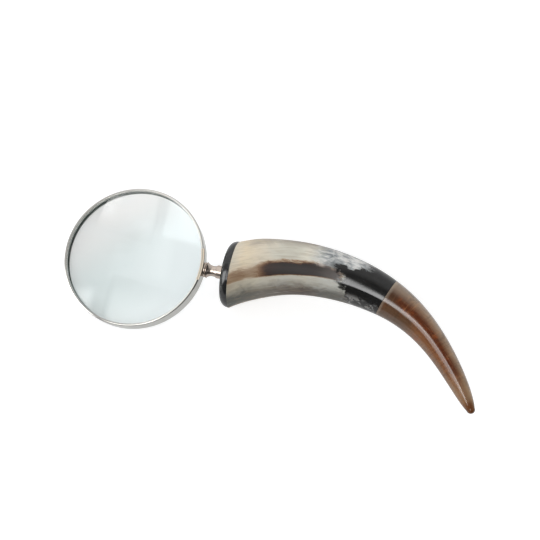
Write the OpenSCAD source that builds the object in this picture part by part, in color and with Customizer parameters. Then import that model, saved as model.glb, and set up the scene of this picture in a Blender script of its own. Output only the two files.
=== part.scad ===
// Magnifying glass: a lens in a nickel-plated brass frame, on a horn handle that unscrews.
// It lies on a table with the front of the lens up. +X runs from the frame towards the handle.

/* [Frame and lens] */
// Outside diameter of the lens frame
frame_d = 100; // [90:1:110]
// Height of the frame's band, along the lens axis
band_h = 11.3; // [10.6:0.1:13]
// Width of the rim in front of the lens
rim_w = 1.8; // [1.6:0.1:2.4]
// Wall of the band behind the lens seat
band_wall = 1; // [0.8:0.1:1.2]
// Thickness of the lens at its ground edge
lens_edge = 2.6; // [2:0.1:3]
// Radius of both polished faces of the lens
lens_face_r = 260; // [240:5:400]
// How far the lens sits ahead of the band's middle
lens_ahead = 1; // [0.8:0.1:1.2]
// Angle that the saddle covers on the rim, over the neck
saddle_span = 26; // [20:1:40]
// Thickness of the saddle in front of the rim
saddle_h = 0.35; // [0.3:0.05:0.5]

/* [Neck] */
// Length of the neck, from the band to the handle's cap
neck_len = 16.1; // [15:0.1:18]
// Outside diameter of the beaded collar on the band
collar_d = 10.6; // [10:0.1:10.6]
// Length of the collar
collar_len = 2.3; // [2.2:0.1:3]
// Diameter of the spool's flange, next to the collar
flange_d = 11.2; // [10:0.1:12]
// Diameter of the spool's waist
waist_d = 7.4; // [7:0.1:8.4]
// Diameter of the spool's foot, on the cap
foot_d = 9.2; // [8.6:0.1:10]
// Outside diameter of the stud's thread
thread_d = 5; // [4:0.5:5]

/* [Handle] */
// Diameter of the handle where the cap meets the horn
butt_d = 46.4; // [44:0.2:50]
// Length of the cap along the neck axis
cap_len = 6.2; // [6.2:0.1:8]
// Radius of the cap's rounded edge
cap_round = 5.5; // [4:0.5:6]
// Diameter of the horn's rounded end
tip_d = 5.6; // [4:0.2:8]
// Share of the horn's curve that belongs to the main horn, before the spliced tip
splice_at = 0.45; // [0.42:0.01:0.5]

/* [Hidden] */
$fn = 96;

// Frame and lens: the seat is where the rim's inner edge meets the front face of the lens.
frame_r = frame_d / 2;
rim_r = frame_r - rim_w;
bore_r = frame_r - band_wall;
lens_r = bore_r - 0.1;
edge_r = 0.9;
back_edge_r = 0.4;
saddle_from = -10.5;
saddle_over = 0.45;
ring_in_r = rim_r - 0.4;
ring_h = 3;
slot_w = 1.6;
slot_deep = 1.2;
touch_gap = 0.01;
face_depth = sqrt(pow(lens_face_r, 2) - pow(lens_r, 2));
function face_rise(r) = sqrt(pow(lens_face_r, 2) - pow(r, 2)) - face_depth;
seat_z = lens_ahead + lens_edge / 2 + face_rise(rim_r) + touch_gap;
ring_z = lens_ahead - lens_edge / 2 - face_rise(ring_in_r) - touch_gap;

// Neck: distances along the neck axis, from the middle of the frame.
spool_x = frame_r + collar_len;
cap_x = frame_r + neck_len;
butt_x = cap_x + cap_len;
bead_r = 1.1;
waist_x = spool_x + 0.32 * (cap_x - spool_x);
foot_x = spool_x + 0.52 * (cap_x - spool_x);
foot_edge = 0.4;
thread_r = thread_d / 2;
fit_gap = 0.05;
tenon_r = 1.3;
rivet_r = 2.1;
stud_end = cap_x + 14;
insert_r = 4.2;
insert_x = cap_x + 0.4;
insert_end = cap_x + 22;

// Horn: control points of its centre line, from the cap's joint, and the radii that go with them.
horn_line = [[0, 0], [58, 32], [114, -5], [123, 10.5], [158, -42.5], [169.7, -61.5]];
horn_radii = [butt_d / 2, 13.3, 21.2, 3.9, 10.8, tip_d / 2];
square_share = 0.14;
sides = 40;
body_rings = 28;
tip_rings = 28;
plug_tilt = 17;
plug_len = 38;
plug_r = 17.5;
plug_end_r = 12.5;
plug_over = 8;
hollow_tilt = -3;
hollow_len = 38;
hollow_r = 12;
hollow_end_r = 4.5;
hollow_back = 3;
dowel_r = 2.5;
dowel_len = 26;
glue_gap = 0.05;

// At rest the frame's far edge and the butt of the horn touch the table.
rest_pitch = 8.22;
rest_roll = -1.86;
rest_shift = [-96.04, 6.5, 12.85];

function bezier(p, t) =
    len(p) == 1 ? p[0] : bezier([for (i = [0 : len(p) - 2]) (1 - t) * p[i] + t * p[i + 1]], t);
function steps(p) = [for (i = [0 : len(p) - 2]) p[i + 1] - p[i]];
function smooth(t) = t >= 1 ? 1 : t * t * (3 - 2 * t);

// The horn's sections start square to the neck, and soon turn square to its centre line.
function horn_turn(t) =
    let (d = bezier(steps(horn_line), t)) atan2(d[1], d[0]) * smooth(t / square_share);
function horn_centre(t) = let (p = bezier(horn_line, t)) [butt_x + p[0], p[1], 0];
function ring_at(centre, turn, r) =
    [for (k = [0 : sides - 1])
        let (a = 360 * k / sides)
        centre + r * [-sin(turn) * cos(a), cos(turn) * cos(a), sin(a)]];
function horn_rings(from, to, count) =
    [for (i = [0 : count])
        let (t = from + (to - from) * i / count)
        ring_at(horn_centre(t), horn_turn(t), bezier(horn_radii, t))];
// Half a ball rounds the end of the horn.
function end_rings() =
    let (turn = horn_turn(1), r = tip_d / 2)
    [for (a = [15 : 14 : 85])
        ring_at(horn_centre(1) + r * sin(a) * [cos(turn), sin(turn), 0], turn, r * cos(a))];

// A closed skin over a row of rings.
module skin(rings) {
    last = (len(rings) - 1) * sides;
    polyhedron(
        points = [for (ring = rings) for (p = ring) p],
        faces = concat(
            [[for (k = [0 : sides - 1]) k]],
            [for (i = [0 : len(rings) - 2]) for (k = [0 : sides - 1])
                let (a = i * sides + k, b = i * sides + (k + 1) % sides)
                for (f = [[a, b + sides, b], [a, a + sides, b + sides]]) f],
            [[for (k = [sides - 1 : -1 : 0]) last + k]]));
}

module at_rest() {
    translate(rest_shift) rotate([rest_roll, 0, 0]) rotate([0, -rest_pitch, 0]) children();
}

// Turns a profile, drawn as distance along the neck and radius, about the neck axis.
module turned() {
    rotate([0, 90, 0]) rotate_extrude() mirror([1, -1]) children();
}

// Lays a shape's own +Z along the neck axis, tilted by an angle in the plane of the lens.
module along_neck(from, tilt = 0) {
    translate(from) rotate([0, 0, tilt]) rotate([0, 90, 0]) children();
}

// A rectangle between two corners.
module block(low, high) {
    translate(low) square(high - low);
}

module frame_disc(r) {
    translate([0, 0, -band_h]) cylinder(h = 2 * band_h, r = r);
}

// Section of the band, with rounded outer edges.
module band_section() {
    top = band_h / 2;
    block([rim_r, -top], [frame_r - edge_r, top]);
    block([rim_r, -top], [frame_r - back_edge_r, 0]);
    block([rim_r, back_edge_r - top], [frame_r, top - edge_r]);
    translate([frame_r - edge_r, top - edge_r]) circle(edge_r);
    translate([frame_r - back_edge_r, back_edge_r - top]) circle(back_edge_r);
}

module frame_band() {
    color([0.80, 0.77, 0.72]) at_rest() difference() {
        rotate_extrude() difference() {
            band_section();
            block([rim_r - 1, -band_h], [bore_r, seat_z]);
        }
        tenon();
    }
}

// The stud's end goes through the band and is riveted over, flush with the lens's bore.
module tenon() {
    along_neck([bore_r - 0.5, 0, 0]) cylinder(h = band_wall + 1, r = tenon_r);
    along_neck([bore_r - 0.5, 0, 0]) cylinder(h = 0.5 + 0.6 * band_wall, r1 = rivet_r, r2 = tenon_r);
}

module lens() {
    color([0.86, 0.93, 0.95, 0.45]) at_rest() intersection() {
        translate([0, 0, lens_ahead + lens_edge / 2 - face_depth]) sphere(lens_face_r, $fn = 360);
        translate([0, 0, lens_ahead - lens_edge / 2 + face_depth]) sphere(lens_face_r, $fn = 360);
        frame_disc(lens_r);
    }
}

module retaining_ring() {
    color([0.74, 0.70, 0.62]) at_rest() difference() {
        rotate_extrude() block([ring_in_r, ring_z - ring_h], [bore_r, ring_z]);
        translate([-slot_w / 2, -frame_r, ring_z - ring_h - 1]) cube([slot_w, frame_d, slot_deep + 1]);
    }
}

// A thin plate soldered over the rim at the neck, a little wider than the rim.
module rim_saddle() {
    top = band_h / 2;
    color([0.84, 0.78, 0.70]) at_rest() rotate([0, 0, saddle_from])
        rotate_extrude(angle = saddle_span) difference() {
            block([rim_r, top - saddle_h], [frame_r + saddle_over, top + saddle_h]);
            band_section();
        }
}

module neck_collar() {
    color([0.84, 0.80, 0.76]) at_rest() difference() {
        turned() difference() {
            union() {
                block([bore_r, 0], [spool_x, collar_d / 2 - bead_r]);
                translate([spool_x - bead_r, collar_d / 2 - bead_r]) circle(bead_r);
            }
            block([bore_r - 1, -1], [spool_x + 1, thread_r]);
        }
        frame_disc(frame_r);
    }
}

module threaded_stud() {
    color([0.72, 0.66, 0.52]) at_rest() {
        difference() {
            along_neck([bore_r, 0, 0]) cylinder(h = stud_end - bore_r, r = thread_r);
            frame_disc(frame_r);
        }
        difference() {
            tenon();
            frame_disc(bore_r);
        }
    }
}

// The waist is a hollow curve, steeper on the flange's side.
module neck_spool() {
    waist_r = waist_d / 2;
    flange_curve = waist_curve(waist_x - spool_x, flange_d / 2 - waist_r);
    foot_curve = waist_curve(foot_x - waist_x, foot_d / 2 - foot_edge - waist_r);
    color([0.84, 0.80, 0.76]) at_rest() turned() difference() {
        union() {
            block([spool_x, 0], [foot_x, flange_d / 2]);
            block([foot_x, 0], [cap_x, foot_d / 2 - foot_edge]);
            block([foot_x + foot_edge, 0], [cap_x - foot_edge, foot_d / 2]);
            for (x = [foot_x + foot_edge, cap_x - foot_edge])
                translate([x, foot_d / 2 - foot_edge]) circle(foot_edge);
        }
        intersection() {
            translate([waist_x, waist_r + flange_curve]) circle(flange_curve, $fn = 180);
            block([spool_x, 0], [waist_x, flange_d]);
        }
        intersection() {
            translate([waist_x, waist_r + foot_curve]) circle(foot_curve, $fn = 180);
            block([waist_x - touch_gap, 0], [foot_x, flange_d]);
        }
        block([spool_x - 1, -1], [cap_x + 1, thread_r + fit_gap]);
    }
}

// Radius of the arc that rises by a height over a length from the waist.
function waist_curve(length, rise) = (pow(length, 2) + pow(rise, 2)) / (2 * rise);

module end_cap() {
    butt_r = butt_d / 2;
    color([0.12, 0.12, 0.13]) at_rest() turned() difference() {
        union() {
            block([cap_x, 0], [butt_x, butt_r - cap_round]);
            block([cap_x + cap_round, 0], [butt_x, butt_r]);
            intersection() {
                translate([cap_x + cap_round, butt_r - cap_round]) circle(cap_round);
                block([cap_x, 0], [butt_x, butt_r]);
            }
        }
        block([cap_x - 1, -1], [butt_x + 1, insert_r + glue_gap]);
    }
}

module threaded_insert() {
    hole_r = thread_r + fit_gap;
    color([0.78, 0.62, 0.30]) at_rest() turned() difference() {
        block([insert_x, 0], [insert_end, insert_r]);
        block([insert_x - 1, -1], [stud_end + 2, hole_r]);
        polygon([[insert_x - 1, 0], [insert_x - 1, hole_r + 1.5],
                 [insert_x + 0.5, hole_r], [insert_x + 0.5, 0]]);
    }
}

// The main horn is bored to a cone for its wooden plug, and is naturally hollow beyond it.
module plug_cone() {
    slope = (plug_r - plug_end_r) / plug_len;
    along_neck([butt_x, 0, 0], plug_tilt) translate([0, 0, -plug_over])
        cylinder(h = plug_len + plug_over, r1 = plug_r + slope * plug_over, r2 = plug_end_r);
}

module hollow() {
    from = [butt_x + plug_len * cos(plug_tilt), plug_len * sin(plug_tilt), 0];
    along_neck(from, hollow_tilt) {
        translate([0, 0, -hollow_back])
            cylinder(h = hollow_len + hollow_back, r1 = hollow_r, r2 = hollow_end_r);
        translate([0, 0, hollow_len]) sphere(hollow_end_r);
    }
}

module core_plug() {
    color([0.72, 0.55, 0.36]) at_rest() difference() {
        plug_cone();
        translate([butt_x - 2 * butt_d, -butt_d, -butt_d]) cube(2 * butt_d);
        along_neck([butt_x - 1, 0, 0]) cylinder(h = insert_end - butt_x + 1, r = insert_r + glue_gap);
    }
}

module horn_body() {
    color([0.80, 0.74, 0.64]) at_rest() difference() {
        skin(horn_rings(0, splice_at, body_rings));
        plug_cone();
        hollow();
        dowel(glue_gap);
    }
}

// A pin across the splice, along the horn, or the hole for it.
module dowel(gap) {
    along_neck(horn_centre(splice_at), horn_turn(splice_at)) translate([0, 0, -dowel_len / 2 - gap])
        cylinder(h = dowel_len + 2 * gap, r = dowel_r + gap);
}

module splice_dowel() {
    color([0.78, 0.64, 0.42]) at_rest() dowel(0);
}

module horn_tip() {
    color([0.36, 0.22, 0.14]) at_rest() difference() {
        skin(concat(horn_rings(splice_at, 1, tip_rings), end_rings()));
        dowel(glue_gap);
    }
}

frame_band();
lens();
retaining_ring();
rim_saddle();
neck_collar();
threaded_stud();
neck_spool();
end_cap();
threaded_insert();
core_plug();
horn_body();
splice_dowel();
horn_tip();
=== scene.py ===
"""A magnifying glass: a lens in a nickel-plated frame, on a polished horn handle that unscrews."""

from math import acos, asin, atan2, cos, pi, radians, sin, sqrt, tan

import bmesh
import bpy
from mathutils import Matrix, Vector, noise


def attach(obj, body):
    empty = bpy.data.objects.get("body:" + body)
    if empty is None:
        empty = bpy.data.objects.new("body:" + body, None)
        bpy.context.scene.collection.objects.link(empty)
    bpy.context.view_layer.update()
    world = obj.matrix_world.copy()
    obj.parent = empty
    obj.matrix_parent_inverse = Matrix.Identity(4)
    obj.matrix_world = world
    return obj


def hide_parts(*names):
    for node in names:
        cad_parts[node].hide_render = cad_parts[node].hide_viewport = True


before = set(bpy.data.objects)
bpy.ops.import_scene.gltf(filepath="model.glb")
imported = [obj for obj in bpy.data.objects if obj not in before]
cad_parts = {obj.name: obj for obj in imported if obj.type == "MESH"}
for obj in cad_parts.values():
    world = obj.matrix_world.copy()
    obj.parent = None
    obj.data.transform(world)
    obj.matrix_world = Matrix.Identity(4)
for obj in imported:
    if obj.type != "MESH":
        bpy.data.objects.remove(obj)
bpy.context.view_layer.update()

MM = 0.001

# The head's own axes, in the row frame: the lens faces +z and the neck points along +x.
REST_PITCH = 8.22
REST_ROLL = -1.86
REST_SHIFT = (-96.04, 6.5, 12.85)
HEAD = (
    Matrix.Translation(REST_SHIFT)
    @ Matrix.Rotation(radians(REST_ROLL), 4, "X")
    @ Matrix.Rotation(radians(-REST_PITCH), 4, "Y")
)

# Frame and lens, in millimetres.
FRAME_R = 50.0
BAND_H = 11.3
RIM_R = 48.2
EDGE_R = 0.9
BACK_EDGE_R = 0.4
BORE_R = 49.0
LENS_R = 48.9
LENS_EDGE = 2.6
LENS_FACE_R = 260.0
LENS_Z = 1.0
SEAT_Z = 2.44
RING_IN_R = 47.8
RING_Z = -0.51
RING_H = 3.0
SLOT_W = 1.6
SLOT_DEEP = 1.2

# Saddle over the rim: degrees about the lens's axis, then its thickness and its reach past the band.
SADDLE_FROM = -10.5
SADDLE_SPAN = 26.0
SADDLE_H = 0.35
SADDLE_OVER = 0.45
STAIN_FROM = RIM_R + 0.7
STAIN_TO = RIM_R + 1.4

# Neck, as distances along its axis from the middle of the frame.
SPOOL_X = 52.3
CAP_X = 66.1
BUTT_X = 72.3
RIVET_X = 49.02
COLLAR_X = 49.55
COLLAR_R = 5.3
BEAD_R = 1.1
SOLDER_R = 0.75
FLANGE_R = 5.6
WAIST_R = 3.7
WAIST_X = SPOOL_X + 0.32 * (CAP_X - SPOOL_X)
FOOT_R = 4.6
FOOT_X = SPOOL_X + 0.52 * (CAP_X - SPOOL_X)
STUD_R = 2.5
STUD_END = CAP_X + 14
THREAD_X = CAP_X + 0.3
THREAD_PITCH = 0.8
THREAD_DEPTH = 0.45
THREAD_STEPS = 12  # rings to a turn of the thread
INSERT_R = 4.2
INSERT_X = CAP_X + 0.4
INSERT_END = CAP_X + 22
HOLE_R = 2.55
BUTT_R = 23.2
CAP_ROUND = 5.5

# Horn: control points of its centre line from the butt, and the radii that go with them.
HORN_LINE = [(0, 0), (58, 32), (114, -5), (123, 10.5), (158, -42.5), (169.7, -61.5)]
HORN_RADII = [BUTT_R, 13.3, 21.2, 3.9, 10.8, 2.8]
SQUARE_SHARE = 0.14
SPLICE = 0.45
PLUG_TILT = 17
PLUG_LEN = 38.0
PLUG_R = 17.5
PLUG_END_R = 12.5
HOLLOW_TILT = -3
HOLLOW_LEN = 38.0
HOLLOW_R = 11.4
HOLLOW_END_R = 4.5
DOWEL_R = 2.5
DOWEL_LEN = 26.0
GLUE_GAP = 0.05

HORN_SIDES = 128
HORN_STEP = 0.9  # millimetres between the horn's rings
BAND_SIDES = 256
LENS_SIDES = 192

# The horn's pattern, in millimetres from the butt along its centre line.
PATTERN_END = 120
BLACK_FROM = 81.5
EDGE_SWING = 30.0
TONGUE_LEN = 12.0


# ---------------------------------------------------------------- mesh helpers


def finish_piece(name, mesh, material, body, slot, *nodes, crease=35):
    """Moves a mesh from the head's axes to the row frame and makes it one piece of the object."""
    mesh.transform(Matrix.Scale(MM, 4) @ HEAD)
    mesh.polygons.foreach_set("use_smooth", [True] * len(mesh.polygons))
    mesh.set_sharp_from_angle(angle=radians(crease))
    mesh.materials.append(material)
    mesh.update()
    obj = bpy.data.objects.new(name, mesh)
    bpy.context.scene.collection.objects.link(obj)
    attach(obj, body)
    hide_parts(*nodes)


def skin(name, rings, start=None, end=None, loop=False):
    """A mesh over a row of rings; start and end are the points that close it, or loop joins last to first."""
    sides = len(rings[0])
    points = [p for ring in rings for p in ring]
    faces = []
    count = len(rings) if loop else len(rings) - 1
    for i in range(count):
        a, b = i * sides, (i + 1) % len(rings) * sides
        for k in range(sides):
            n = (k + 1) % sides
            faces.append((a + k, a + n, b + n, b + k))
    for pole, base, flip in ((start, 0, True), (end, (len(rings) - 1) * sides, False)):
        if pole is None:
            continue
        points.append(pole)
        for k in range(sides):
            pair = (base + k, base + (k + 1) % sides)
            faces.append((*(reversed(pair) if flip else pair), len(points) - 1))
    mesh = bpy.data.meshes.new(name)
    mesh.from_pydata(points, [], faces)
    outward(mesh)
    return mesh


def outward(mesh):
    """Turns every face of a closed mesh to the outside."""
    bm = bmesh.new()
    bm.from_mesh(mesh)
    bmesh.ops.recalc_face_normals(bm, faces=bm.faces)
    bm.to_mesh(mesh)
    bm.free()


def rounded(corners, steps=5):
    """Closed outline through (along, radius, round) corners, each one rounded by its own radius."""
    outline = []
    for i, (x, y, size) in enumerate(corners):
        here = Vector((x, y))
        if size == 0:
            outline.append(here)
            continue
        before = (Vector(corners[i - 1][:2]) - here).normalized()
        after = (Vector(corners[(i + 1) % len(corners)][:2]) - here).normalized()
        half = acos(max(-1, min(1, before.dot(after)))) / 2
        centre = here + (before + after).normalized() * size / sin(half)
        first = here + before * size / tan(half) - centre
        last = here + after * size / tan(half) - centre
        outline.append(centre + first + before * size * 0.3)
        for k in range(steps + 1):
            outline.append(centre + slerp(first, last, k / steps))
        outline.append(centre + last + after * size * 0.3)
    return outline


def slerp(a, b, share):
    """Turns the way from a to b, two arms of the same length."""
    angle = acos(max(-1, min(1, a.normalized().dot(b.normalized()))))
    return (a * sin((1 - share) * angle) + b * sin(share * angle)) / sin(angle)


def around_lens(along, r, angle):
    return Vector((r * cos(angle), r * sin(angle), along))


def around_neck(along, r, angle):
    return Vector((along, r * cos(angle), r * sin(angle)))


def turned(name, outline, place, sides=128):
    """A closed outline of (along, radius) points, turned about the lens's or the neck's axis."""
    angles = [2 * pi * k / sides for k in range(sides)]
    rings = [[place(x, r, a) for a in angles] for x, r in outline]
    return skin(name, rings, loop=True)


def arc(cx, cy, r, start, stop, steps):
    """Points on an arc, with angles in degrees."""
    return [
        Vector((cx + r * cos(radians(a)), cy + r * sin(radians(a))))
        for a in (start + (stop - start) * k / steps for k in range(steps + 1))
    ]


def set_fibre(mesh):
    """Gives a turned piece its grain coordinates: its own place, in millimetres."""
    fibre = mesh.attributes.new("fibre", "FLOAT_VECTOR", "POINT")
    fibre.data.foreach_set("vector", [c for v in mesh.vertices for c in v.co])


def set_inside(mesh, shade):
    """Marks how dull and dark each point of a piece is, from shade(point), which runs from 0 to 1. The
    darkness is painted shade, except for the stain along the saddle's middle.
    """
    marks = mesh.attributes.new("inside", "FLOAT_VECTOR", "POINT")
    values = [(float(shade(v.co)), 0, 0) for v in mesh.vertices]
    marks.data.foreach_set("vector", [c for row in values for c in row])


# ------------------------------------------------------------- shader helpers


class Nodes:
    """A node tree, with one short call for each kind of node. Inputs are sockets or plain values."""

    def __init__(self, tree):
        self.tree = tree
        tree.nodes.clear()

    def add(self, kind, inputs=(), **settings):
        node = self.tree.nodes.new("ShaderNode" + kind)
        for key, value in settings.items():
            setattr(node, key, value)
        for key, value in dict(inputs).items():
            self.put(node.inputs[key], value)
        return node

    def put(self, socket, value):
        if isinstance(value, bpy.types.NodeSocket):
            self.tree.links.new(value, socket)
        elif isinstance(value, tuple) and len(value) == 3 and socket.type == "RGBA":
            socket.default_value = (*value, 1)
        else:
            socket.default_value = value

    def attribute(self, name):
        return self.add("Attribute", attribute_name=name).outputs["Vector"]

    def split(self, vector):
        return self.add("SeparateXYZ", {0: vector}).outputs

    def stretch(self, vector, *scale):
        return self.add("Mapping", {"Vector": vector, "Scale": scale}).outputs[0]

    def maths(self, operation, a, b):
        return self.add("Math", {0: a, 1: b}, operation=operation).outputs[0]

    def sum(self, a, b):
        return self.maths("ADD", a, b)

    def times(self, a, b):
        return self.maths("MULTIPLY", a, b)

    def minus(self, a, b):
        return self.maths("SUBTRACT", a, b)

    def step(self, value, low, high):
        """Rises smoothly from 0 at low to 1 at high; high may be under low."""
        inputs = {"Value": value, "From Min": low, "From Max": high}
        node = self.add("MapRange", inputs, interpolation_type="SMOOTHSTEP")
        return node.outputs["Result"]

    def scale(self, value, low, high):
        """Maps 0..1 to low..high."""
        return self.add("MapRange", {"Value": value, "To Min": low, "To Max": high}).outputs[0]

    def noise(self, vector, scale, detail=4.0, rough=0.55, warp=0.0):
        inputs = {"Vector": vector, "Scale": scale, "Detail": detail, "Roughness": rough}
        inputs["Distortion"] = warp
        return self.add("TexNoise", inputs).outputs[0]

    def centred(self, value, size):
        """A noise value about its middle, times size."""
        return self.times(self.minus(value, 0.5), 2 * size)

    def ramp(self, value, *stops):
        node = self.add("ValToRGB", {0: value})
        points = node.color_ramp.elements
        while len(points) < len(stops):
            points.new(0.5)
        for point, (place, colour) in zip(points, stops):
            point.position = place
            point.color = (*colour, 1)
        return node.outputs[0]

    def curve(self, value, low, high, *points):
        """A smooth curve through (x, y) points, with x from low to high and y within -1..1."""
        share = self.add("MapRange", {"Value": value, "From Min": low, "From Max": high}).outputs[0]
        node = self.add("FloatCurve", {"Value": share})
        line = node.mapping.curves[0].points
        while len(line) < len(points):
            line.new(0.5, 0.5)
        for point, (x, y) in zip(line, points):
            point.location = ((x - low) / (high - low), (y + 1) / 2)
        node.mapping.update()
        return self.scale(node.outputs[0], -1.0, 1.0)

    def mix(self, share, a, b, blend="MIX"):
        node = self.tree.nodes.new("ShaderNodeMix")
        node.data_type = "RGBA"
        node.blend_type = blend
        self.put(node.inputs[0], share)
        self.put(node.inputs[6], a)
        self.put(node.inputs[7], b)
        return node.outputs[2]

    def bump(self, height, strength, distance):
        inputs = {"Height": height, "Strength": strength, "Distance": distance * MM}
        return self.add("Bump", inputs).outputs[0]

    def surface(self, **inputs):
        """The principled shader, linked to the output. Names use _ for a space."""
        words = {key.replace("_", " "): value for key, value in inputs.items()}
        self.output(self.add("BsdfPrincipled", words).outputs[0])

    def output(self, shader):
        target = self.tree.nodes.new("ShaderNodeOutputMaterial")
        self.tree.links.new(shader, target.inputs["Surface"])


def material(name):
    made = bpy.data.materials.new(name)
    made.use_nodes = True
    return made, Nodes(made.node_tree)


def rgb(red, green, blue):
    """A colour on the usual 0..255 screen scale, as the linear values that shaders take."""
    return tuple(
        c / 12.92 if c <= 0.04045 else ((c + 0.055) / 1.055) ** 2.4
        for c in (red / 255, green / 255, blue / 255)
    )


# ------------------------------------------------------------------ materials


def plated(name, tint, roughness, worn=0.35):
    """Polished nickel plate with turning lines and hairlines; inner walls are left dull, and painted dark
    green-grey as painted shade of the hollow they face.
    """
    made, n = material(name)
    place = n.add("TexCoord").outputs["Object"]
    cloud = n.noise(n.stretch(place, 60, 60, 60), 1.0, 5)
    hair = n.noise(n.stretch(place, 900, 5200, 2600), 1.0, 3, 0.7)
    fine = n.noise(n.stretch(place, 2600, 2600, 9000), 1.0, 2)
    dull = n.step(cloud, 0.45, 0.8)
    dark = tuple(c * 0.86 for c in tint)
    warm = (tint[0] * 0.95, tint[1] * 0.88, tint[2] * 0.80)
    base = n.mix(n.times(dull, worn), tint, warm)
    base = n.mix(n.times(n.step(hair, 0.62, 0.8), 0.25), base, dark)
    # Points marked inside go dark green-grey. On the band's inner walls and the saddle's outer side this is
    # painted shade, tinted like the glass; along the saddle's middle it is its stain.
    inside = n.split(n.attribute("inside"))[0]
    base = n.mix(n.times(inside, 0.95), base, (0.13, 0.165, 0.15))
    rough = n.sum(roughness, n.times(dull, 0.06))
    rough = n.sum(rough, n.times(inside, 0.35))
    rough = n.sum(rough, n.times(n.step(hair, 0.6, 0.8), 0.05))
    relief = n.sum(n.times(hair, 0.5), fine)
    n.surface(
        Base_Color=base,
        Metallic=1.0,
        Roughness=rough,
        Normal=n.bump(relief, 0.05, 0.02),
    )
    return made


def brass():
    """Turned brass with fine tool lines and a brownish bloom."""
    made, n = material("brass")
    place = n.add("TexCoord").outputs["Object"]
    lines = n.noise(n.stretch(place, 9000, 500, 500), 1.0, 2)
    bloom = n.noise(n.stretch(place, 240, 240, 240), 1.0, 4)
    tint = n.mix(n.step(bloom, 0.4, 0.75), rgb(214, 176, 98), rgb(168, 126, 70))
    n.surface(
        Base_Color=tint,
        Metallic=1.0,
        Roughness=n.scale(bloom, 0.2, 0.36),
        Normal=n.bump(lines, 0.12, 0.02),
    )
    return made


def lens_glass():
    """Coated glass, faintly blue, with a ground edge and the odd speck; lamps light what is under it. Its
    tint holds painted shade: darker towards its left side and greyer at its upper left.
    """
    made, n = material("lens_glass")
    place = n.add("TexCoord").outputs["Object"]
    smear = n.noise(n.stretch(place, 26, 60, 26), 1.0, 4, 0.6, 0.6)
    speck = n.noise(n.stretch(place, 1400, 1400, 1400), 1.0, 1)
    spot = n.split(place)
    # Painted shade: the glass is tinted darker towards its left side and greyer at its upper left.
    tint = n.mix(n.step(spot[0], -0.115, -0.050), (0.62, 0.67, 0.665), (0.75, 0.79, 0.795))
    upper_left = n.step(n.minus(spot[1], spot[0]), 0.10, 0.155)
    tint = n.mix(upper_left, tint, (0.73, 0.725, 0.715))
    tint = n.mix(n.times(n.step(smear, 0.45, 0.7), 0.25), tint, (0.73, 0.76, 0.765))
    # The ground edge is dull from its grinding; its dark green is painted shade of the hollow it sits in.
    ground = n.split(n.attribute("inside"))[0]
    tint = n.mix(ground, tint, (0.30, 0.42, 0.37))
    rough = n.sum(n.times(n.step(speck, 0.72, 0.82), 0.12), n.times(ground, 0.5))
    glass = n.add(
        "BsdfPrincipled",
        {
            "Base Color": tint,
            "Roughness": rough,
            "IOR": 1.52,
            "Specular IOR Level": 0.16,
            "Transmission Weight": 1.0,
        },
    )
    clear = n.add("BsdfTransparent", {"Color": (0.80, 0.85, 0.86)})
    shadow = n.add("LightPath").outputs["Is Shadow Ray"]
    mixed = n.add("MixShader", {0: shadow, 1: glass.outputs[0], 2: clear.outputs[0]})
    n.output(mixed.outputs[0])
    return made


def horn_finish(n, colour, fibre, roughness, glow):
    """The polish that all the horn shares: soft depth, fine fibres and buffing marks."""
    fibres = n.noise(n.stretch(fibre, 0.35, 5.5, 5.5), 1.0, 3)
    buffing = n.noise(n.stretch(fibre, 1.1, 0.35, 0.35), 1.0, 4, 0.6)
    relief = n.sum(n.times(fibres, 0.6), buffing)
    rough = n.sum(roughness, n.sum(n.centred(buffing, 0.03), n.times(fibres, 0.02)))
    n.surface(
        Base_Color=colour,
        Roughness=rough,
        IOR=1.54,
        Subsurface_Weight=glow,
        Subsurface_Radius=(1.0, 0.62, 0.38),
        Subsurface_Scale=1.6 * MM,
        Normal=n.bump(relief, 0.10, 0.05),
    )


def black_horn():
    """The cap: near-black horn with faint grey-green marbling."""
    made, n = material("black_horn")
    place = n.attribute("fibre")
    veins = n.noise(n.stretch(place, 0.10, 0.16, 0.05), 1.0, 5, 0.6, 1.4)
    colour = n.ramp(
        veins,
        (0.40, (0.006, 0.006, 0.007)),
        (0.56, (0.016, 0.018, 0.017)),
        (0.72, (0.045, 0.050, 0.046)),
    )
    horn_finish(n, colour, place, 0.13, 0.0)
    return made


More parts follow.
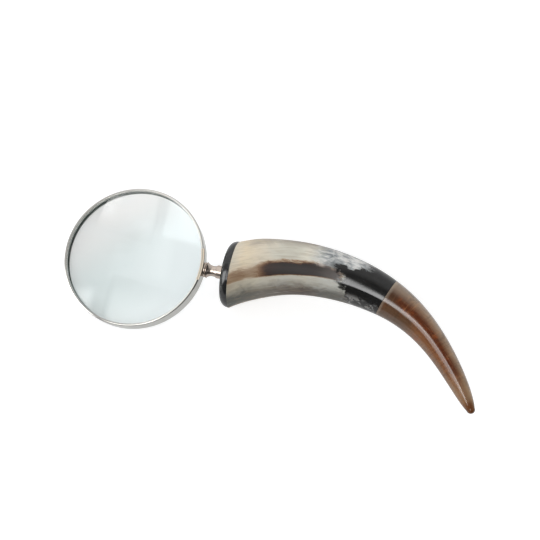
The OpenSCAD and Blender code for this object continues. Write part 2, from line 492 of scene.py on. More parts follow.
def pale_ground(n, s, share, cloud, wisp, grain):
    """The pale colours: cream above the streak, and grey-green below it, going darker towards the lower edge
    partly in its own colour and partly as painted shade.
    """
    length = n.times(s, 1 / PATTERN_END)
    cream = n.ramp(
        n.sum(length, n.centred(cloud, 0.09)),
        (0.00, rgb(206, 197, 180)),
        (0.08, rgb(220, 205, 178)),
        (0.17, rgb(212, 202, 183)),
        (0.27, rgb(200, 197, 184)),
        (0.36, rgb(196, 193, 180)),
        (0.44, rgb(218, 214, 200)),
        (0.52, rgb(204, 206, 200)),
    )
    shade = n.times(n.step(n.sum(share, n.centred(cloud, 0.3)), 0.48, 0.82), n.step(s, 2, 18))
    cream = n.mix(n.times(shade, 0.70), cream, rgb(150, 140, 128))
    edge_shade = n.times(n.step(share, 0.76, 0.92), n.times(n.step(s, 32, 46), n.step(s, 72, 62)))
    cream = n.mix(n.times(edge_shade, 0.6), cream, rgb(96, 90, 84))

    under = n.ramp(
        n.sum(length, n.centred(cloud, 0.10)),
        (0.02, rgb(184, 174, 156)),
        (0.15, rgb(208, 202, 184)),
        (0.30, rgb(200, 198, 188)),
        (0.42, rgb(202, 198, 184)),
        (0.54, rgb(198, 198, 190)),
    )
    # Darker grey towards the lower edge: partly the horn's own colour, partly painted shade of its underside.
    lowest = n.ramp(
        length,
        (0.03, rgb(84, 87, 82)),
        (0.18, rgb(122, 116, 106)),
        (0.30, rgb(108, 98, 88)),
        (0.42, rgb(86, 74, 66)),
        (0.55, rgb(104, 102, 96)),
    )
    near_edge = n.sum(share, n.sum(n.centred(cloud, 0.16), n.centred(wisp, 0.14)))
    under = n.mix(n.step(near_edge, -0.60, -0.94), under, lowest)
    low_side = n.step(n.sum(share, n.centred(wisp, 0.10)), -0.42, -0.56)
    base = n.mix(low_side, cream, under)
    base = n.mix(n.times(n.step(grain, 0.46, 0.72), 0.42), base, rgb(160, 146, 122))
    return n.mix(n.times(n.step(grain, 0.44, 0.26), 0.30), base, rgb(236, 232, 220))


def brown_streak(n, s, share, wisp, grain):
    """The streak: soft along its upper edge, sharp along its lower edge. Gives its cover and colour."""
    upper = n.curve(
        s, 0, PATTERN_END, (0, -0.18), (18, -0.12), (30, -0.03), (50, 0.0), (60, 0.05), (74, 0.0), (120, 0.0)
    )
    lower = n.curve(
        s, 0, PATTERN_END, (0, -0.53), (24, -0.52), (38, -0.50), (50, -0.47), (62, -0.43), (74, -0.40),
        (120, -0.4),
    )
    drift = n.sum(n.centred(wisp, 0.13), n.centred(grain, 0.12))
    above = n.step(n.minus(n.sum(share, drift), upper), 0.10, -0.13)
    below = n.step(n.minus(n.sum(share, n.centred(wisp, 0.035)), lower), -0.035, 0.05)
    along = n.curve(
        n.sum(s, n.centred(wisp, 5.0)), 0, PATTERN_END, (0, 0.32), (8, 0.36), (13, 0.26), (20, 0.48),
        (29, 0.90), (40, 1.0), (60, 0.96), (72, 0.80), (80, 0.0), (120, 0.0),
    )
    streak = n.times(n.times(above, below), n.sum(along, n.centred(grain, 0.22)))
    colour = n.ramp(
        streak,
        (0.05, rgb(200, 182, 158)),
        (0.25, rgb(164, 140, 114)),
        (0.42, rgb(132, 102, 74)),
        (0.60, rgb(88, 56, 33)),
        (0.80, rgb(42, 20, 8)),
        (1.00, rgb(22, 9, 3)),
    )
    greying = n.times(n.step(s, 56, 74), 0.55)
    return n.step(streak, 0.0, 0.26), n.mix(greying, colour, rgb(104, 100, 96))


def white_flakes(n, s, share, flake, wisp):
    """The flakes that gather before the horn turns black, with painted shade over a patch at their lower
    side.
    """
    cover = n.times(n.step(n.sum(s, n.centred(wisp, 10)), 52, 66), n.step(share, -0.10, 0.14))
    # Painted shade: the flakes darken over a patch on their lower side.
    flake_shade = n.times(n.step(share, 0.42, 0.22), n.times(n.step(s, 58, 70), n.step(s, 82, 76)))
    colour = n.ramp(
        n.minus(n.sum(n.times(flake, 0.65), n.times(wisp, 0.35)), n.times(flake_shade, 0.09)),
        (0.38, rgb(96, 101, 104)),
        (0.46, rgb(150, 154, 156)),
        (0.53, rgb(198, 198, 196)),
        (0.62, rgb(222, 222, 219)),
    )
    return n.times(cover, 0.9), colour


def black_part(n, s, share, flake, wisp):
    """Where the horn turns black: a ragged edge, one pale tongue into it, and smoke on its lower side."""
    edge = n.curve(
        share, -1, 1, (-1, 0.05), (-0.75, -0.06), (-0.45, -0.22), (-0.15, -0.24), (0.0, -0.40),
        (0.2, -0.40), (0.29, -0.32), (0.37, 0.06), (0.46, 0.18), (0.75, 0.28), (1, 0.26),
    )
    tongue = n.times(n.times(n.step(s, 76, 80), n.step(s, 86, 82)), n.step(share, 0.14, 0.24))
    start = n.sum(n.sum(n.times(edge, EDGE_SWING), BLACK_FROM), n.times(tongue, TONGUE_LEN))
    ragged = n.sum(n.centred(flake, 13.0), n.centred(wisp, 8.0))
    cover = n.step(n.minus(n.sum(s, ragged), start), -2.5, 3.5)
    colour = n.ramp(wisp, (0.4, (0.0060, 0.0058, 0.0056)), (0.7, (0.015, 0.0145, 0.014)))
    patch = n.times(n.step(s, 81, 88), n.step(s, 101, 94))
    smoke = n.times(n.step(share, -0.66, -0.86), n.step(n.sum(flake, n.times(patch, 0.12)), 0.52, 0.64))
    return cover, n.mix(n.times(smoke, 0.8), colour, rgb(150, 149, 147))


def pale_horn():
    """The main horn: cream, with one brown streak, and white flakes where it turns black."""
    made, n = material("pale_horn")
    fibre = n.attribute("fibre")
    s, across, up = n.split(n.attribute("place"))[:3]
    behind = n.step(up, 0.10, -0.65)
    turned_over = n.minus(0.3, n.times(across, 0.7))
    share = n.sum(across, n.times(behind, n.minus(turned_over, across)))

    grain = n.noise(n.stretch(fibre, 0.045, 0.55, 0.55), 1.0, 5, 0.62, 0.5)
    cloud = n.noise(n.stretch(fibre, 0.07, 0.10, 0.10), 1.0, 5, 0.6, 0.7)
    wisp = n.noise(n.stretch(fibre, 0.13, 0.30, 0.30), 1.0, 6, 0.68, 1.3)
    flake = n.noise(n.stretch(fibre, 0.13, 0.20, 0.20), 1.0, 6, 0.62, 1.1)

    base = pale_ground(n, s, share, cloud, wisp, grain)
    streak, brown = brown_streak(n, s, share, wisp, grain)
    base = n.mix(streak, base, brown)
    flakes, white = white_flakes(n, s, share, flake, wisp)
    base = n.mix(flakes, base, white)
    black, dark = black_part(n, s, share, flake, wisp)
    base = n.mix(black, base, dark)
    horn_finish(n, base, fibre, n.scale(black, 0.50, 0.09), 0.12)
    return made


def brown_horn():
    """The tip: red-brown and translucent, darkest along its middle, with pale fibres on its upper side."""
    made, n = material("brown_horn")
    fibre = n.attribute("fibre")
    s, across, up = n.split(n.attribute("place"))[:3]
    behind = n.step(up, 0.10, -0.65)
    turned_over = n.minus(0.15, n.times(across, 0.8))
    share = n.sum(across, n.times(behind, n.minus(turned_over, across)))

    grain = n.noise(n.stretch(fibre, 0.05, 0.9, 0.9), 1.0, 5, 0.62, 0.4)
    cloud = n.noise(n.stretch(fibre, 0.07, 0.16, 0.16), 1.0, 5, 0.6, 0.8)
    bands = n.noise(n.stretch(fibre, 0.16, 0.10, 0.10), 1.0, 4, 0.6, 0.4)
    rings = n.noise(n.stretch(fibre, 0.9, 0.06, 0.06), 1.0, 3, 0.6)
    drift = n.sum(n.centred(cloud, 0.20), n.centred(grain, 0.16))
    side = n.sum(0.5, n.times(n.sum(share, drift), 0.5))
    colour = n.ramp(
        side,
        (0.05, rgb(136, 102, 78)),
        (0.20, rgb(138, 92, 60)),
        (0.32, rgb(126, 80, 50)),
        (0.44, rgb(102, 54, 26)),
        (0.50, rgb(88, 38, 10)),
        (0.58, rgb(88, 42, 16)),
        (0.66, rgb(114, 78, 52)),
        (0.74, rgb(132, 102, 76)),
        (0.82, rgb(150, 125, 102)),
        (0.93, rgb(152, 134, 118)),
    )
    fire = n.times(n.step(bands, 0.52, 0.68), n.step(share, 0.45, 0.1))
    colour = n.mix(n.times(fire, 0.60), colour, rgb(156, 82, 36))
    notch = n.times(n.step(bands, 0.50, 0.36), n.step(share, 0.1, 0.5))
    colour = n.mix(n.times(notch, 0.60), colour, rgb(92, 74, 60))
    colour = n.mix(n.times(n.step(grain, 0.52, 0.74), 0.35), colour, rgb(66, 38, 20))
    colour = n.mix(n.times(n.step(grain, 0.46, 0.28), 0.22), colour, rgb(188, 150, 112))
    colour = n.mix(n.times(n.step(rings, 0.54, 0.72), 0.42), colour, rgb(62, 38, 24))
    colour = n.mix(n.times(n.step(rings, 0.45, 0.28), 0.25), colour, rgb(182, 130, 84))
    # Near the splice the tip is dulled: to grey-brown on its upper half, and to dark brown on its lower half,
    # which is painted shade carrying on the dark band below the highlight on the black part.
    low_half = n.times(n.step(share, -0.1, -0.5), -16.0)
    dull = n.times(n.step(n.sum(n.sum(s, low_half), n.centred(cloud, 12)), 128, 112), 0.62)
    colour = n.mix(dull, colour, n.mix(n.step(share, 0.1, 0.6), rgb(72, 56, 40), rgb(128, 114, 100)))
    pale = n.times(n.step(n.sum(s, n.centred(cloud, 10)), 172, 188), n.step(s, 199, 194))
    colour = n.mix(n.times(pale, 0.42), colour, rgb(172, 144, 112))
    colour = n.mix(n.times(n.step(s, 193, 201), 0.75), colour, rgb(104, 62, 30))
    joint = n.times(n.step(n.sum(s, n.centred(cloud, 1.2)), SPLICE_S + 2.6, SPLICE_S + 0.4), 0.34)
    colour = n.mix(joint, colour, rgb(176, 166, 150))
    horn_finish(n, colour, fibre, 0.10, 0.10)
    return made


def plug_wood():
    """Plain turned hardwood with its grain along the neck."""
    made, n = material("plug_wood")
    place = n.add("TexCoord").outputs["Object"]
    grain = n.noise(n.stretch(place, 40, 700, 700), 1.0, 5, 0.6, 0.5)
    colour = n.ramp(grain, (0.35, rgb(150, 112, 72)), (0.65, rgb(198, 160, 112)))
    n.surface(Base_Color=colour, Roughness=n.scale(grain, 0.5, 0.75), Normal=n.bump(grain, 0.3, 0.1))
    return made


# ---------------------------------------------------------------- frame pieces


def frame_band(finish):
    top = BAND_H / 2
    corners = [
        (top, RIM_R, 0.18),
        (top, FRAME_R, EDGE_R),
        (-top, FRAME_R, BACK_EDGE_R),
        (-top, BORE_R, 0.12),
        (SEAT_Z, BORE_R, 0.08),
        (SEAT_Z, RIM_R, 0.12),
    ]
    mesh = turned("frame_band", rounded(corners), around_lens, BAND_SIDES)
    # The bore's inner walls are marked for painted shade: the dark of the hollow round the lens.
    set_inside(mesh, lambda p: p.xy.length < BORE_R + 0.1 and p.z < top - 0.5)
    finish_piece("frame_band", mesh, finish, "head", "nickel_plate", "frame_band")


def lens_rise(r):
    return sqrt(LENS_FACE_R**2 - r**2) - sqrt(LENS_FACE_R**2 - LENS_R**2)


def lens(finish):
    """Two polished faces and a ground edge with small chamfers."""
    chamfer = 0.15
    half = LENS_EDGE / 2
    radii = [LENS_R * sin(radians(a)) for a in range(3, 90, 3)] + [LENS_R - chamfer]
    front = [(LENS_Z + half + lens_rise(r), r) for r in radii]
    back = [(LENS_Z - half - lens_rise(r), r) for r in reversed(radii)]
    edge = [(LENS_Z + half - chamfer, LENS_R), (LENS_Z - half + chamfer, LENS_R)]
    angles = [2 * pi * k / LENS_SIDES for k in range(LENS_SIDES)]
    rings = [[around_lens(x, r, a) for a in angles] for x, r in front + edge + back]
    rise = half + lens_rise(0)
    mesh = skin("lens", rings, Vector((0, 0, LENS_Z + rise)), Vector((0, 0, LENS_Z - rise)))
    set_inside(mesh, lambda p: p.xy.length > LENS_R - 0.05)
    finish_piece("lens", mesh, finish, "head", "lens_glass", "lens", crease=30)


def retaining_ring(finish):
    """The ring behind the lens. Two slots across it take the key that tightens it."""
    outline = rounded(
        [
            (RING_Z, RING_IN_R, 0.15),
            (RING_Z, BORE_R - 0.02, 0.1),
            (RING_Z - RING_H, BORE_R - 0.02, 0.1),
            (RING_Z - RING_H, RING_IN_R, 0.25),
        ]
    )
    slot_floor = RING_Z - RING_H + SLOT_DEEP
    stations = []
    for middle in (pi / 2, 3 * pi / 2):
        for side in (-1, 1):
            for cut in ((False, True) if side < 0 else (True, False)):
                stations.append((middle, side, cut))
        stations += [(middle + pi * k / 90, 0, False) for k in range(3, 88)]
    rings = []
    for angle, side, cut in stations:
        ring = []
        for along, r in outline:
            turn = angle + side * asin(SLOT_W / 2 / r)
            ring.append(around_lens(max(along, slot_floor) if cut else along, r, turn))
        rings.append(ring)
    mesh = skin("retaining_ring", rings, loop=True)
    finish_piece("retaining_ring", mesh, finish, "head", "nickel_plate", "retaining_ring")


# ----------------------------------------------------------------- neck pieces


def saddle_shade(point):
    """The saddle is stained along its middle; its outer side is darkened as painted shadow, the dark line
    under the rim's edge.
    """
    r = point.xy.length
    # Its outer side: painted shadow.
    if r > FRAME_R + SADDLE_OVER - 0.02:
        return 0.9
    on_face = point.z > BAND_H / 2 + SADDLE_H - 0.05
    return 0.6 if on_face and STAIN_FROM < r < STAIN_TO else 0.0


def rim_saddle(finish):
    """The thin plate soldered over the rim at the neck, its edges softened."""
    top = BAND_H / 2
    face, outside = top + SADDLE_H, FRAME_R + SADDLE_OVER
    inner, outer, gap = 0.12, 0.2, 0.02
    outline = [Vector((top, RIM_R + gap)), Vector((face - inner, RIM_R + gap))]
    outline += arc(face - inner, RIM_R + gap + inner, inner, 270, 360, 4)
    stain = (STAIN_FROM - 0.1, STAIN_FROM + 0.1, STAIN_TO - 0.1, STAIN_TO + 0.1)
    outline += [Vector((face, r)) for r in stain]
    outline += arc(face - outer, outside - outer, outer, 0, 90, 5)
    outline.append(Vector((top - SADDLE_H, outside)))
    outline += arc(top - EDGE_R, FRAME_R - EDGE_R, EDGE_R + gap, 53, 0, 8)
    count = 60
    rings = []
    for k in range(count + 1):
        angle = radians(SADDLE_FROM + SADDLE_SPAN * k / count)
        rings.append([around_lens(x, r, angle) for x, r in outline])
    ends = [sum(ring, Vector()) / len(ring) for ring in (rings[0], rings[-1])]
    mesh = skin("rim_saddle", rings, *ends)
    set_inside(mesh, saddle_shade)
    finish_piece("rim_saddle", mesh, finish, "head", "nickel_plate", "rim_saddle")


def neck_collar(finish):
    """The collar, with its bead and the fillet of solder that holds it to the band."""
    neck_r = COLLAR_R - BEAD_R
    outline = [Vector((COLLAR_X, STUD_R + 0.02)), Vector((COLLAR_X, neck_r + 0.7))]
    outline += arc(FRAME_R + SOLDER_R, neck_r + SOLDER_R, SOLDER_R, 180, 270, 6)
    outline += arc(SPOOL_X - BEAD_R, neck_r, BEAD_R, 150, 0, 18)
    outline += [Vector((SPOOL_X - 0.01, 3.4)), Vector((SPOOL_X - 0.3, 3.0)), Vector((SPOOL_X - 0.3, 2.52))]
    mesh = turned("neck_collar", outline, around_neck)
    finish_piece("neck_collar", mesh, finish, "head", "nickel_plate", "neck_collar")


def waist_curve(x, length, rise):
    """Height of a hollow arc over its waist, at x from the waist."""
    r = (length**2 + rise**2) / (2 * rise)
    return r - sqrt(r * r - x * x)


def neck_spool(finish):
    """The turned neck: a thin flange, a hollow waist, and a rounded foot on the cap."""
    flange_len = WAIST_X - SPOOL_X - 0.35
    foot_len = FOOT_X - WAIST_X
    outline = [Vector((SPOOL_X + 0.02, STUD_R + 0.05)), Vector((SPOOL_X + 0.02, FLANGE_R - 0.3))]
    outline += arc(SPOOL_X + 0.3, FLANGE_R - 0.28, 0.28, 180, 60, 8)
    for k in range(1, 23):
        x = flange_len * (1 - k / 22)
        rise = waist_curve(x, flange_len, FLANGE_R - 0.12 - WAIST_R)
        outline.append(Vector((WAIST_X - x, WAIST_R + rise)))
    for k in range(1, 15):
        x = foot_len * k / 14
        rise = waist_curve(x, foot_len, FOOT_R - 0.45 - WAIST_R)
        outline.append(Vector((WAIST_X + x, WAIST_R + rise)))
    outline += arc(FOOT_X + 0.4, FOOT_R - 0.4, 0.4, 180, 90, 5)
    outline += arc(CAP_X - 0.42, FOOT_R - 0.4, 0.4, 90, 0, 5)
    outline.append(Vector((CAP_X - 0.02, STUD_R + 0.05)))
    mesh = turned("neck_spool", outline, around_neck)
    finish_piece("neck_spool", mesh, finish, "neck", "nickel_plate", "neck_spool")


def threaded_stud(finish):
    """The stud: riveted at the band, plain through the neck, then a right-hand thread with a pointed end."""
    sides = 64
    thread_end = STUD_END - 0.6
    rows = [(RIVET_X, 2.05), (RIVET_X + 0.08, 2.1), (RIVET_X + 0.58, 1.35)]
    rows += [(RIVET_X + 0.96, STUD_R - 0.05), (THREAD_X - 0.3, STUD_R)]
    count = int((thread_end - THREAD_X) / THREAD_PITCH * THREAD_STEPS)
    rings = [[around_neck(x, r, 2 * pi * k / sides) for k in range(sides)] for x, r in rows]
    for i in range(count + 1):
        x = THREAD_X + (thread_end - THREAD_X) * i / count
        ring = []
        for k in range(sides):
            turn = (x / THREAD_PITCH + k / sides) % 1
            groove = min(1, max(0, 2.6 * abs(turn - 0.5) - 0.15))
            ring.append(around_neck(x, STUD_R - THREAD_DEPTH * (1 - groove), 2 * pi * k / sides))
        rings.append(ring)
    rings.append([around_neck(STUD_END - 0.05, 1.75, 2 * pi * k / sides) for k in range(sides)])
    mesh = skin("threaded_stud", rings, Vector((RIVET_X, 0, 0)), Vector((STUD_END, 0, 0)))
    finish_piece("threaded_stud", mesh, finish, "head", "plain_brass", "threaded_stud")


# --------------------------------------------------------------- handle pieces


def end_cap(finish):
    hole = INSERT_R + GLUE_GAP
    outline = [Vector((CAP_X + 0.25, hole)), Vector((CAP_X, hole + 0.25))]
    outline += [Vector((CAP_X, 9)), Vector((CAP_X, 14))]
    outline += arc(CAP_X + CAP_ROUND, BUTT_R - CAP_ROUND, CAP_ROUND, 180, 90, 24)
    outline += [Vector((BUTT_X - 0.16, BUTT_R)), Vector((BUTT_X - 0.03, BUTT_R - 0.13))]
    outline += [Vector((BUTT_X - 0.03, 12)), Vector((BUTT_X - 0.03, hole))]
    mesh = turned("end_cap", outline, around_neck, 160)
    set_fibre(mesh)
    finish_piece("end_cap", mesh, finish, "handle", "black_horn", "end_cap")


def threaded_insert(finish):
    outline = rounded(
        [
            (INSERT_X, HOLE_R + 0.45, 0.05),
            (INSERT_X, INSERT_R, 0.25),
            (INSERT_END, INSERT_R, 0.25),
            (INSERT_END, 0.6, 0),
            (STUD_END + 2, 0.6, 0),
            (STUD_END + 2, HOLE_R, 0),
            (INSERT_X + 0.5, HOLE_R, 0.05),
        ]
    )
    mesh = turned("threaded_insert", outline, around_neck, 96)
    finish_piece("threaded_insert", mesh, finish, "handle", "plain_brass", "threaded_insert")


def bezier(points, t):
    while len(points) > 1:
        points = [a * (1 - t) + b * t for a, b in zip(points, points[1:])]
    return points[0]


def smooth(t):
    t = min(1, max(0, t))
    return t * t * (3 - 2 * t)


LINE = [Vector(p) for p in HORN_LINE]
STEPS = [b - a for a, b in zip(LINE, LINE[1:])]


def horn_turn(t):
    way = bezier(STEPS, t)
    return atan2(way.y, way.x) * smooth(t / SQUARE_SHARE)


def horn_centre(t):
    point = bezier(LINE, t)
    return Vector((BUTT_X + point.x, point.y, 0))


def horn_stations(count=900):
    """Even steps along the centre line, as (share of the curve, millimetres from the butt)."""
    table = [(0.0, 0.0)]
    last = horn_centre(0)
    for i in range(1, count + 1):
        here = horn_centre(i / count)
        table.append((i / count, table[-1][1] + (here - last).length))
        last = here
    return table


STATIONS = horn_stations()


def length_at(t):
    count = len(STATIONS) - 1
    i = min(count - 1, int(t * count))
    return STATIONS[i][1] + (STATIONS[i + 1][1] - STATIONS[i][1]) * (t * count - i)


def share_at(s):
    for (t0, s0), (t1, s1) in zip(STATIONS, STATIONS[1:]):
        if s <= s1:
            return t0 + (t1 - t0) * (s - s0) / (s1 - s0)
    return 1.0


def unevenness(s, a):
    """How far the hand-polished horn stands off its smooth shape, as a share of its radius."""
    calm = smooth(s / 14)
    point = Vector((s / 26, 0.9 * cos(a), 0.9 * sin(a)))
    return 1 + calm * (0.0065 * noise.noise(point) - 0.002)


def horn_ring(t, shrink=0.0, ahead=0.0):
    """One ring of the horn's outside with its coordinates (millimetres along, share across, share up)."""
    turn, s = horn_turn(t), length_at(t) + ahead
    r = bezier(HORN_RADII, t) - shrink
    side = Vector((-sin(turn), cos(turn), 0))
    centre = horn_centre(t) + ahead * Vector((cos(turn), sin(turn), 0))
    ring, places = [], []
    for k in range(HORN_SIDES):
        a = 2 * pi * k / HORN_SIDES
        reach = r * unevenness(s, a)
        ring.append(centre + reach * (side * cos(a) + Vector((0, 0, sin(a)))))
        places.append((s, cos(a), sin(a)))
    return ring, places


def flat_ring(centre, turn, r, s):
    """A plain ring square to a direction in the plane of the lens, for the horn's inner faces."""
    side = Vector((-sin(turn), cos(turn), 0))
    angles = [2 * pi * k / HORN_SIDES for k in range(HORN_SIDES)]
    ring = [centre + r * (side * cos(a) + Vector((0, 0, sin(a)))) for a in angles]
    return ring, [(s, cos(a), sin(a)) for a in angles]


def horn_piece(name, parts, start, end, finish, slot):
    """A horn piece over its rings, with the coordinates that its pattern follows."""
    rings = [ring for ring, places in parts]
    mesh = skin(name, rings, start, end)
    places = [p for ring, row in parts for p in row]
    places += [(parts[0][1][0][0], 0.0, 0.0), (parts[-1][1][0][0], 0.0, 0.0)]
    place = mesh.attributes.new("place", "FLOAT_VECTOR", "POINT")
    place.data.foreach_set("vector", [c for p in places for c in p])
    fibre = mesh.attributes.new("fibre", "FLOAT_VECTOR", "POINT")
    straight = []
    for s, across, up in places:
        r = bezier(HORN_RADII, share_at(s))
        straight += [s, r * across, r * up]
    fibre.data.foreach_set("vector", straight)
    finish_piece(name, mesh, finish, "handle", slot, name)


def outer_rings(from_s, to_s):
    """Rings of the horn's outside, with a fine chamfer at each end."""
    count = round((to_s - from_s) / HORN_STEP)
    parts = [horn_ring(share_at(from_s + 0.02), 0.12)]
    for i in range(count + 1):
        s = from_s + 0.14 + (to_s - from_s - 0.28) * i / count
        parts.append(horn_ring(share_at(s)))
    parts.append(horn_ring(share_at(to_s - 0.02), 0.12))
    return parts


SPLICE_S = length_at(SPLICE)


def horn_body(finish):
    """The main horn. Its butt is bored for the plug, is hollow beyond, and its far face takes the dowel."""
    tilt, far_tilt = radians(PLUG_TILT), radians(HOLLOW_TILT)
    plug_way = Vector((cos(tilt), sin(tilt), 0))
    far_way = Vector((cos(far_tilt), sin(far_tilt), 0))
    mouth = Vector((BUTT_X + 0.02, 0, 0))
    floor = Vector((BUTT_X, 0, 0)) + plug_way * (PLUG_LEN + GLUE_GAP)
    slope = (PLUG_END_R - PLUG_R) / PLUG_LEN
    cone, places = [], []
    for k in range(HORN_SIDES):
        a = 2 * pi * k / HORN_SIDES
        lift = -tan(tilt) * PLUG_R * cos(a)
        r = PLUG_R + GLUE_GAP - slope * lift
        out = Vector((-sin(tilt), cos(tilt), 0)) * cos(a) + Vector((0, 0, sin(a)))
        point = Vector((BUTT_X, 0, 0)) + r * out
        point += plug_way * (mouth.x - point.x) / cos(tilt)
        cone.append(point)
        places.append((0.0, cos(a), sin(a)))
    parts = [flat_ring(floor + far_way * (HOLLOW_LEN + HOLLOW_END_R * 0.9), far_tilt, 2.0, 80.0)]
    parts += [flat_ring(floor + far_way * HOLLOW_LEN, far_tilt, HOLLOW_END_R, 76.0)]
    parts += [flat_ring(floor, tilt, HOLLOW_R, 38.0), flat_ring(floor, tilt, PLUG_END_R + GLUE_GAP, 38.0)]
    parts += [(cone, places)] + outer_rings(0.0, SPLICE_S)
    turn = horn_turn(SPLICE)
    way = Vector((cos(turn), sin(turn), 0))
    face = horn_centre(SPLICE)
    parts += [flat_ring(face - 0.02 * way, turn, DOWEL_R + GLUE_GAP, SPLICE_S)]
    parts += [flat_ring(face - way * DOWEL_LEN / 2, turn, DOWEL_R + GLUE_GAP, SPLICE_S - DOWEL_LEN / 2)]
    start = floor + far_way * (HOLLOW_LEN + HOLLOW_END_R)
    end = face - way * (DOWEL_LEN / 2 + GLUE_GAP)
    horn_piece("horn_body", parts, start, end, finish, "pale_horn")


def horn_tip(finish):
    turn = horn_turn(SPLICE)
    way = Vector((cos(turn), sin(turn), 0))
    face = horn_centre(SPLICE)
    parts = [flat_ring(face + way * DOWEL_LEN / 2, turn, DOWEL_R + GLUE_GAP, SPLICE_S + DOWEL_LEN / 2)]
    parts += [flat_ring(face + 0.02 * way, turn, DOWEL_R + GLUE_GAP, SPLICE_S)]
    whole = length_at(1.0)
    parts += outer_rings(SPLICE_S, whole)[:-1]
    tip_r = HORN_RADII[-1]
    for a in range(6, 88, 6):
        parts.append(horn_ring(1.0, tip_r * (1 - cos(radians(a))), tip_r * sin(radians(a))))
    far = horn_turn(1.0)
    start = face + way * (DOWEL_LEN / 2 + GLUE_GAP)
    end = horn_centre(1.0) + tip_r * Vector((cos(far), sin(far), 0))
    horn_piece("horn_tip", parts, start, end, finish, "brown_horn")


def core_plug(finish):
    """The tapered plug, cut square at the cap and bored for the insert."""
    tilt = radians(PLUG_TILT)
    way = Vector((cos(tilt), sin(tilt), 0))
    side = Vector((-sin(tilt), cos(tilt), 0))
    slope = (PLUG_END_R - PLUG_R) / PLUG_LEN
    sides = 96
    bore, mouth, end = [], [], []
    for k in range(sides):
        a = 2 * pi * k / sides
        out = side * cos(a) + Vector((0, 0, sin(a)))
        r = PLUG_R + slope * tan(tilt) * PLUG_R * cos(a)
        point = Vector((BUTT_X, 0, 0)) + r * out
        mouth.append(point + way * (BUTT_X + 0.04 - point.x) / cos(tilt))
        end.append(Vector((BUTT_X, 0, 0)) + way * (PLUG_LEN - 0.05) + (PLUG_END_R - 0.05) * out)
        bore.append(around_neck(BUTT_X + 0.04, INSERT_R + GLUE_GAP, a))
    deep = [p + Vector((INSERT_END - BUTT_X, 0, 0)) for p in bore]
    floor = Vector((INSERT_END + 0.04, 0, 0))
    close = Vector((BUTT_X, 0, 0)) + way * (PLUG_LEN - 0.05)
    mesh = skin("core_plug", [deep, bore, mouth, end], floor, close)
    finish_piece("core_plug", mesh, finish, "handle", "plug_wood", "core_plug")


def splice_dowel(finish):
    turn = horn_turn(SPLICE)
    way = Vector((cos(turn), sin(turn), 0))
    face, half = horn_centre(SPLICE), DOWEL_LEN / 2
    outline = [(-half, DOWEL_R - 0.4), (-half + 0.4, DOWEL_R), (half - 0.4, DOWEL_R), (half, DOWEL_R - 0.4)]
    rings = [flat_ring(face + way * x, turn, r, 0.0)[0] for x, r in outline]
    mesh = skin("splice_dowel", rings, face - way * half, face + way * half)
    finish_piece("splice_dowel", mesh, finish, "handle", "plug_wood", "splice_dowel")


nickel = plated("nickel_plate", (0.60, 0.595, 0.565), 0.07)
# The retaining ring is dull nickel painted dark green-grey: painted shade of the hollow behind the lens,
# tinted like the glass.
shaded_dull_nickel = plated("shaded_dull_nickel", (0.12, 0.15, 0.135), 0.42)
# The neck's plate is a darker, warmer copy of the band's: the warmth is partly its own and partly painted
# reflection of the horn, and the darkness is painted shade.
neck_nickel = plated("neck_nickel", (0.56, 0.48, 0.42), 0.24, 0.6)
saddle_nickel = plated("saddle_nickel", (0.72, 0.62, 0.50), 0.30, 0.9)
brass_metal = brass()
wood = plug_wood()

frame_band(nickel)
lens(lens_glass())
retaining_ring(shaded_dull_nickel)
rim_saddle(saddle_nickel)
neck_collar(neck_nickel)
neck_spool(neck_nickel)
threaded_stud(brass_metal)
end_cap(black_horn())
threaded_insert(brass_metal)
core_plug(wood)
horn_body(pale_horn())
horn_tip(brown_horn())
splice_dowel(wood)


# ------------------------------------------------------- floor, light, camera


def floor():
    """A wide white table top, lit a little past white where the camera sees it directly."""
    made, n = material("table")
    place = n.add("TexCoord").outputs["Object"]
    tone = n.noise(n.stretch(place, 3, 3, 3), 1.0, 2)
    colour = n.mix(n.scale(tone, 0.3, 0.7), (0.55, 0.55, 0.55), (0.56, 0.56, 0.56))
    path = n.add("LightPath").outputs
    seen = n.maths("MAXIMUM", path["Is Camera Ray"], path["Is Transmission Ray"])
    n.surface(
        Base_Color=colour,
        Roughness=0.8,
        Specular_IOR_Level=0.0,
        Emission_Color=(1.0, 1.0, 1.0),
        Emission_Strength=n.scale(seen, 0.30, 0.66),
    )
    mesh = bpy.data.meshes.new("table")
    reach = 6.0
    corners = [(-reach, -reach, 0), (reach, -reach, 0), (reach, reach, 0), (-reach, reach, 0)]
    mesh.from_pydata(corners, [], [(0, 1, 2, 3)])
    mesh.materials.append(made)
    obj = bpy.data.objects.new("table", mesh)
    bpy.context.scene.collection.objects.link(obj)


def softbox(height, corners, strength):
    """A softbox over the table, brightest at its first corner. Corners are for a height of one metre."""
    made, n = material("softbox")
    share = n.split(n.attribute("share"))
    bright = n.scale(n.step(share[0], 0.32, 0.10), 0.45 * strength, strength)
    ends = n.times(n.step(share[0], 0.0, 0.03), n.step(share[0], 1.0, 0.85))
    sides = n.times(n.step(share[1], -0.04, 0.42), n.step(share[1], 1.0, 0.92))
    glow = n.add("Emission", {"Strength": n.times(bright, n.times(ends, sides))})
    n.output(glow.outputs[0])
    mesh = bpy.data.meshes.new("softbox")
    points = [(x * height, y * height, height) for x, y in corners]
    mesh.from_pydata(points, [], [(0, 1, 2, 3)])
    spots = mesh.attributes.new("share", "FLOAT_VECTOR", "POINT")
    spots.data.foreach_set("vector", [0, 0, 0, 0, 1, 0, 1, 1, 0, 1, 0, 0])
    mesh.materials.append(made)
    obj = bpy.data.objects.new("softbox", mesh)
    bpy.context.scene.collection.objects.link(obj)
    obj.location = (0.05, -0.01, 0.0)


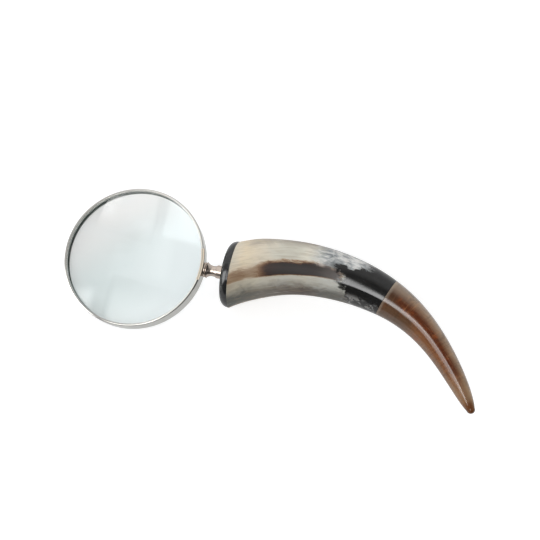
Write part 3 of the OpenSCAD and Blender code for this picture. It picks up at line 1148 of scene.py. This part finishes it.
def lamp(name, kind, energy, turn, **settings):
    light = bpy.data.lights.new(name, kind)
    light.energy = energy
    for key, value in settings.items():
        setattr(light, key, value)
    obj = bpy.data.objects.new(name, light)
    obj.rotation_euler = [radians(a) for a in turn]
    bpy.context.scene.collection.objects.link(obj)
    return obj


def surroundings():
    """A pale room, white behind the table, with one panel of light and a low one for reflections only."""
    world = bpy.data.worlds.new("room")
    bpy.context.scene.world = world
    world.use_nodes = True
    n = Nodes(world.node_tree)
    way = n.split(n.add("TexCoord").outputs["Generated"])
    left = n.scale(n.step(way[0], 0.05, -0.35), 0.0, 0.55)
    top = n.scale(n.step(way[1], 0.25, 0.70), 0.22, 0.85)
    side = n.scale(n.step(way[1], -0.55, -0.25), 0.30, 1.0)
    panel = n.times(n.step(way[0], -0.47, -0.39), n.step(way[0], -0.18, -0.26))
    panel = n.times(panel, n.times(n.step(way[1], 0.08, 0.15), n.step(way[1], 0.50, 0.38)))
    low = n.times(n.step(way[0], -0.60, -0.66), n.step(way[2], 0.0, 0.08))
    low = n.times(low, n.times(n.step(way[1], -0.56, -0.48), n.step(way[1], 0.02, -0.06)))
    path = n.add("LightPath").outputs
    low = n.times(n.times(low, path["Is Glossy Ray"]), 6.0)
    light = n.sum(n.times(n.sum(left, top), side), n.sum(n.times(panel, 1.2), low))
    seen = n.times(path["Is Camera Ray"], 1.3)
    glow = n.add("Background", {"Strength": n.maths("MAXIMUM", light, seen)})
    out = world.node_tree.nodes.new("ShaderNodeOutputWorld")
    world.node_tree.links.new(glow.outputs[0], out.inputs[0])


floor()
surroundings()
softbox(1.5, [(-0.07, 0.03), (-0.16, -0.755), (-0.83, -0.665), (-0.74, 0.12)], 7.8)
fill = lamp("fill", "SUN", 0.8, (-25, 10, 0), angle=radians(120))
fill.visible_glossy = False

camera = bpy.data.objects.new("camera", bpy.data.cameras.new("camera"))
camera.data.lens = 52.67
camera.data.sensor_width = 36.0
camera.location = (0.0035, -0.0937, 0.5612)
camera.rotation_euler = (radians(11.302), radians(-1.786), radians(11.318))
bpy.context.scene.collection.objects.link(camera)
bpy.context.scene.camera = camera
bpy.context.scene.view_settings.view_transform = "Standard"
